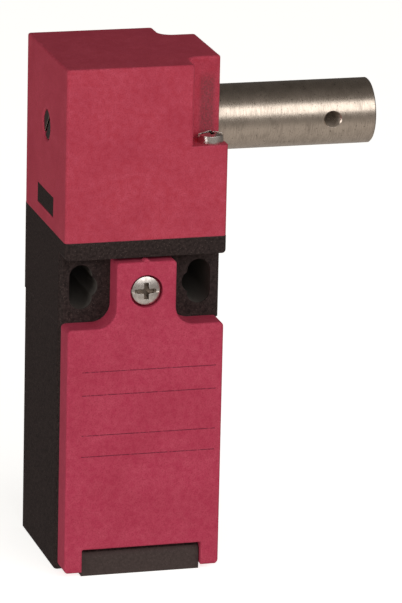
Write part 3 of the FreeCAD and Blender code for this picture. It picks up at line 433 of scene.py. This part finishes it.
# Black glass-filled nylon: warm grey-black with a fine spark-eroded grain and tiny pale fibre flecks
def blackNylon():
    material, tree = newMaterial("glass-filled nylon, moulded black")
    place = addNode(tree, "ShaderNodeTexCoord").outputs["Object"]
    mottle = addNode(tree, "ShaderNodeTexNoise", Vector=place,
                     Scale=perFeature(blackMoulding["mottleMm"]), Detail=5.0, Roughness=0.7)
    tint = addNode(tree, "ShaderNodeMapRange", Value=mottle.outputs[0], From_Min=0.35, From_Max=0.65,
                   To_Min=0.0, To_Max=0.85)
    colour = addNode(tree, "ShaderNodeMix", {"data_type": "RGBA"}, input0=tint.outputs[0],
                     input6=hexToLinear(blackMoulding["colour"]),
                     input7=hexToLinear(blackMoulding["tint"]))
    fibres = addNode(tree, "ShaderNodeTexVoronoi", Vector=place,
                     Scale=perFeature(blackMoulding["fleckMm"]))
    fleck = addNode(tree, "ShaderNodeMapRange", Value=fibres.outputs["Distance"], From_Min=0.22,
                    From_Max=0.08, To_Min=0.0, To_Max=0.6)
    colour = addNode(tree, "ShaderNodeMix", {"data_type": "RGBA"}, input0=fleck.outputs[0],
                     input6=colour.outputs[2], input7=hexToLinear(blackMoulding["fleck"]))
    # Painted light: paler colour on the fixing slots' walls and on the hinge tab's front
    for litBox in paintedLightBoxes:
        here = addNode(tree, "ShaderNodeMath", {"operation": "MULTIPLY"},
                       input0=inBox(tree, place, litBox["middle"], litBox["half"]), input1=litBox["share"])
        colour = addNode(tree, "ShaderNodeMix", {"data_type": "RGBA"}, input0=here.outputs[0],
                         input6=colour.outputs[2], input7=hexToLinear(litBox["colour"]))
    softNormal, nearEdge = softEdges(tree, blackMoulding["edgeMm"])
    # Painted highlight along the edges, lightening the black there
    highlight = addNode(tree, "ShaderNodeMath", {"operation": "MULTIPLY"}, input0=nearEdge,
                  input1=blackMoulding["highlightShare"])
    colour = addNode(tree, "ShaderNodeMix", {"data_type": "RGBA"}, input0=highlight.outputs[0],
                     input6=colour.outputs[2], input7=hexToLinear(blackMoulding["edge"]))
    entry = threads["cable entry"]
    thread = addNode(tree, "ShaderNodeBump", Strength=1.0, Distance=entry["depth"] * mm,
                     Height=threadHeight(tree, place, entry)[0], Normal=softNormal)
    grain = addNode(tree, "ShaderNodeTexNoise", Vector=place, Scale=perFeature(blackMoulding["grainMm"]),
                    Detail=3.0, Roughness=0.7)
    bump = addNode(tree, "ShaderNodeBump", Strength=0.5, Distance=blackMoulding["grainDepthMm"] * mm,
                   Height=grain.outputs[0], Normal=thread.outputs[0])
    rough = addNode(tree, "ShaderNodeMapRange", Value=grain.outputs[0], From_Min=0.3, From_Max=0.7,
                    To_Min=blackMoulding["roughness"] - 0.08, To_Max=blackMoulding["roughness"] + 0.1)
    shader = addNode(tree, "ShaderNodeBsdfPrincipled", Base_Color=colour.outputs[2],
                     Normal=bump.outputs[0], Roughness=rough.outputs[0],
                     Specular_IOR_Level=blackMoulding["specular"])
    addNode(tree, "ShaderNodeOutputMaterial", Surface=shader.outputs[0])
    return material


spindleSteel = {
    "colour": "#C7B9AB",
    "stain": "#9C9084",
    "roughness": 0.28,
    "lineMm": (0.22, 2.0),  # of the grinding lines: along the bar, round it
    "cloudMm": 2.2,
    "pit": "#4E463F",
    "pitMm": 0.3,
    "tappedRoughness": 0.6,
    "tail": -12.0,  # mm along the bar, where the blackened end starts
    "blackened": "#3A3330",  # with a painted highlight at its edges, where the bright steel colour shows
    "edgeMm": 0.15,
    "lineDepthMm": 0.012,
}


# Centreless-ground stainless bar: warm grey, fine lines round it, faint clouds of stain and a few dark pits
def groundStainless():
    material, tree = newMaterial("stainless steel, centreless ground")
    place = addNode(tree, "ShaderNodeTexCoord").outputs["Object"]
    along, around = (perFeature(size) for size in spindleSteel["lineMm"])
    squeezed = addNode(tree, "ShaderNodeMapping", Vector=place, Scale=(along, around, around))
    lines = addNode(tree, "ShaderNodeTexNoise", Vector=squeezed.outputs[0], Scale=1.0, Detail=3.0,
                    Roughness=0.7)
    cloud = addNode(tree, "ShaderNodeTexNoise", Vector=place, Scale=perFeature(spindleSteel["cloudMm"]),
                    Detail=4.0)
    both = addNode(tree, "ShaderNodeMath", {"operation": "MULTIPLY"}, input0=lines.outputs[0],
                   input1=cloud.outputs[0])
    stain = addNode(tree, "ShaderNodeMapRange", Value=both.outputs[0], From_Min=0.2, From_Max=0.38,
                    To_Min=0.0, To_Max=0.6)
    colour = addNode(tree, "ShaderNodeMix", {"data_type": "RGBA"}, input0=stain.outputs[0],
                     input6=hexToLinear(spindleSteel["colour"]),
                     input7=hexToLinear(spindleSteel["stain"]))
    pits = addNode(tree, "ShaderNodeTexNoise", Vector=place, Scale=perFeature(spindleSteel["pitMm"]),
                   Detail=2.0)
    pit = addNode(tree, "ShaderNodeMapRange", Value=pits.outputs[0], From_Min=0.36, From_Max=0.28,
                  To_Min=0.0, To_Max=0.75)
    colour = addNode(tree, "ShaderNodeMix", {"data_type": "RGBA"}, input0=pit.outputs[0],
                     input6=colour.outputs[2], input7=hexToLinear(spindleSteel["pit"]))
    along = addNode(tree, "ShaderNodeSeparateXYZ", Vector=place)
    tail = addNode(tree, "ShaderNodeMath", {"operation": "LESS_THAN"}, input0=along.outputs["X"],
                   input1=spindleSteel["tail"] * mm)
    softNormal, nearEdge = softEdges(tree, spindleSteel["edgeMm"])
    # Painted highlight: the blackened tail fades back to bright steel at its edges
    tailEdgeHighlight = addNode(tree, "ShaderNodeMapRange", Value=nearEdge, From_Min=0.0, From_Max=1.0, To_Min=1.0,
                     To_Max=0.1)
    black = addNode(tree, "ShaderNodeMath", {"operation": "MULTIPLY"}, input0=tail.outputs[0],
                    input1=tailEdgeHighlight.outputs[0])
    colour = addNode(tree, "ShaderNodeMix", {"data_type": "RGBA"}, input0=black.outputs[0],
                     input6=colour.outputs[2], input7=hexToLinear(spindleSteel["blackened"]))
    tapped = threads["cross hole"]
    ridges, inHole = threadHeight(tree, place, tapped)
    thread = addNode(tree, "ShaderNodeBump", Strength=1.0, Distance=tapped["depth"] * mm, Height=ridges,
                     Normal=softNormal)
    bump = addNode(tree, "ShaderNodeBump", Strength=0.3, Distance=spindleSteel["lineDepthMm"] * mm,
                   Height=lines.outputs[0], Normal=thread.outputs[0])
    ground = addNode(tree, "ShaderNodeMapRange", Value=lines.outputs[0], From_Min=0.3, From_Max=0.7,
                     To_Min=spindleSteel["roughness"] - 0.06, To_Max=spindleSteel["roughness"] + 0.08)
    rough = addNode(tree, "ShaderNodeMix", input0=inHole, input2=ground.outputs[0],
                    input3=spindleSteel["tappedRoughness"])
    shader = addNode(tree, "ShaderNodeBsdfPrincipled", Base_Color=colour.outputs[2],
                     Normal=bump.outputs[0], Roughness=rough.outputs[0], Metallic=1.0)
    addNode(tree, "ShaderNodeOutputMaterial", Surface=shader.outputs[0])
    return material


# Painted shade in the cross drives below the screws' domes: the middle of each, and half sizes of its two
# arms in mm
driveShade = {
    "colour": "#85796F",  # painted shade, darker than the dome, so that the drive shows
    "cover": {"middle": (0, -30.07, 0), "arms": ((2.0, 0.76, 0.6), (0.6, 0.76, 2.0))},
    "front": {"middle": (12.5, -27.0, 27.12), "arms": ((1.7, 0.5, 0.62), (0.5, 1.7, 0.62))},
    "rear": {"middle": (12.5, -3.0, 27.12), "arms": ((1.7, 0.5, 0.62), (0.5, 1.7, 0.62))},
}


smallPartSkin = {"metalEdge": 0.12, "metalDepth": 0.01, "mottle": 1.2, "mouldedDepth": 0.02}  # mm

# Small metal parts: a base colour, a duller one in clouds, the cloud's size in mm and the roughness
smallMetals = {
    "steel screws, nickel plated": ("#E8E0DA", "#B4ABA3", 0.6, 0.27),
    "spring steel, drawn wire": ("#A9A7A4", "#8C8A87", 0.3, 0.32),
    "hardened steel, ground": ("#8E8D8C", "#747372", 0.5, 0.3),
    "bronze, sintered and oiled": ("#9A7142", "#7A5631", 0.25, 0.5),
    "brass, turned and stamped": ("#D3AE62", "#B08F4E", 0.5, 0.28),
    "silver alloy, riveted contact": ("#E6E3DD", "#C8C4BC", 0.3, 0.3),
}


# Plating, wire drawing or sintering leaves fine clouds of dull and bright
def smallMetal(name, thread=None, shadedDrives=()):
    base, dull, cloudMm, roughness = smallMetals[name]
    material, tree = newMaterial(name + ", threaded" if thread else name)
    place = addNode(tree, "ShaderNodeTexCoord").outputs["Object"]
    cloud = addNode(tree, "ShaderNodeTexNoise", Vector=place, Scale=perFeature(cloudMm), Detail=3.0,
                    Roughness=0.6)
    dim = addNode(tree, "ShaderNodeMapRange", Value=cloud.outputs[0], From_Min=0.35, From_Max=0.7,
                  To_Min=0.0, To_Max=0.7)
    colour = addNode(tree, "ShaderNodeMix", {"data_type": "RGBA"}, input0=dim.outputs[0],
                     input6=hexToLinear(base), input7=hexToLinear(dull))
    # Painted shade in the screws' cross drives
    for shadedDrive in (driveShade[name] for name in shadedDrives):
        for arm in shadedDrive["arms"]:
            here = inBox(tree, place, shadedDrive["middle"], arm)
            colour = addNode(tree, "ShaderNodeMix", {"data_type": "RGBA"}, input0=here,
                             input6=colour.outputs[2], input7=hexToLinear(driveShade["colour"]))
    normal = softEdges(tree, smallPartSkin["metalEdge"])[0]
    if thread:
        normal = addNode(tree, "ShaderNodeBump", Strength=1.0, Distance=thread["depth"] * mm,
                         Height=threadHeight(tree, place, thread)[0], Normal=normal).outputs[0]
    bump = addNode(tree, "ShaderNodeBump", Strength=0.25, Distance=smallPartSkin["metalDepth"] * mm,
                   Height=cloud.outputs[0], Normal=normal)
    rough = addNode(tree, "ShaderNodeMapRange", Value=cloud.outputs[0], From_Min=0.3, From_Max=0.7,
                    To_Min=roughness - 0.05, To_Max=roughness + 0.08)
    shader = addNode(tree, "ShaderNodeBsdfPrincipled", Base_Color=colour.outputs[2],
                     Normal=bump.outputs[0], Roughness=rough.outputs[0], Metallic=1.0)
    addNode(tree, "ShaderNodeOutputMaterial", Surface=shader.outputs[0])
    return material


# Small moulded or rubber parts: two close colours, the grain's size in mm and the roughness
smallMouldings = {
    "nitrile rubber, moulded": ("#1E1D1D", "#2B2928", 0.3, 0.65),
    "acetal, moulded natural": ("#DDD8CB", "#CDC7B7", 0.3, 0.4),
    "urea resin, moulded grey": ("#55565A", "#626368", 0.2, 0.48),
    "polycarbonate, moulded pale grey": ("#A6A7A8", "#B5B6B6", 0.25, 0.38),
}


# Moulded skin of one colour with a soft mottle
def smallMoulding(name):
    base, tint, grainMm, roughness = smallMouldings[name]
    material, tree = newMaterial(name)
    place = addNode(tree, "ShaderNodeTexCoord").outputs["Object"]
    mottle = addNode(tree, "ShaderNodeTexNoise", Vector=place, Scale=perFeature(smallPartSkin["mottle"]),
                     Detail=3.0)
    shade = addNode(tree, "ShaderNodeMapRange", Value=mottle.outputs[0], From_Min=0.35, From_Max=0.65,
                    To_Min=0.0, To_Max=0.8)
    colour = addNode(tree, "ShaderNodeMix", {"data_type": "RGBA"}, input0=shade.outputs[0],
                     input6=hexToLinear(base), input7=hexToLinear(tint))
    grain = addNode(tree, "ShaderNodeTexNoise", Vector=place, Scale=perFeature(grainMm), Detail=2.0)
    bump = addNode(tree, "ShaderNodeBump", Strength=0.3, Distance=smallPartSkin["mouldedDepth"] * mm,
                   Height=grain.outputs[0])
    rough = addNode(tree, "ShaderNodeMapRange", Value=grain.outputs[0], From_Min=0.3, From_Max=0.7,
                    To_Min=roughness - 0.05, To_Max=roughness + 0.07)
    shader = addNode(tree, "ShaderNodeBsdfPrincipled", Base_Color=colour.outputs[2],
                     Normal=bump.outputs[0], Roughness=rough.outputs[0])
    addNode(tree, "ShaderNodeOutputMaterial", Surface=shader.outputs[0])
    return material


def dressNodes(material, *names):
    for name in names:
        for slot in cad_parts[name].material_slots:
            slot.material = material


def dressAll():
    dressNodes(redPolyester("polyester, moulded red", "head", False), "head_housing")
    dressNodes(redPolyester("polyester, moulded and printed red", "cover", True), "front_cover")
    dressNodes(blackNylon(), "body_housing")
    dressNodes(groundStainless(), "spindle")
    screwSteel = "steel screws, nickel plated"
    dressNodes(smallMetal(screwSteel, threads["cover screw"], ["cover"]), "cover_screw")
    dressNodes(smallMetal(screwSteel, shadedDrives=["front", "rear"]), "head_screws", "terminal_screws",
               "terminal_clamps", "block_screws")
    dressNodes(smallMetal("spring steel, drawn wire"), "tappet_spring", "return_spring", "contact_springs")
    dressNodes(smallMetal("hardened steel, ground"), "cam", "cam_pin")
    dressNodes(smallMetal("bronze, sintered and oiled"), "spindle_bush_outer", "spindle_bush_inner")
    fixedContacts = ["fixed_contact_" + str(number) for number in range(1, 7)]
    dressNodes(smallMetal("brass, turned and stamped"), "tappet_guide", "cover_screw_insert",
               "head_screw_inserts", "block_screw_inserts", "bridge_closed_upper", "bridge_closed_lower",
               "bridge_open", *fixedContacts)
    dressNodes(smallMetal("silver alloy, riveted contact"), "bridge_tips", "fixed_contact_tips")
    dressNodes(smallMoulding("nitrile rubber, moulded"), "head_gasket", "cover_gasket", "spindle_seal",
               "spindle_end_seal", "tappet_seal")
    dressNodes(smallMoulding("acetal, moulded natural"), "tappet", "contact_carrier", "thrust_washer",
               "cover_screw_retainer")
    dressNodes(smallMoulding("urea resin, moulded grey"), "contact_block_base")
    dressNodes(smallMoulding("polycarbonate, moulded pale grey"), "contact_block_cover")


dressAll()
print("solids dressed")


# Springs: copies of the solids' coils, with doubled points merged, set on the housing in place of the solids
coilSprings = {
    "tappet_spring": {"joint": "tappet_slide", "fixedEnd": 10.3, "length": 7.65, "travel": 3.0},  # mm
    "return_spring": {"joint": "carrier_slide", "fixedEnd": -36.2, "length": 5.0, "travel": 3.0},
}


def makeCoil(name, wire):
    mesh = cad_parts[name].data.copy()
    shape = bmesh.new()
    shape.from_mesh(mesh)
    bmesh.ops.remove_doubles(shape, verts=shape.verts, dist=0.001 * mm)
    shape.to_mesh(mesh)
    shape.free()
    mesh.materials.clear()
    mesh.materials.append(wire)
    coil = bpy.data.objects.new(name + "_coil", mesh)
    bpy.context.scene.collection.objects.link(coil)
    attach(coil, "housing")
    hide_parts(name)
    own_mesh(coil)


for name in coilSprings:
    makeCoil(name, bpy.data.materials["spring steel, drawn wire"])
print("springs coiled")
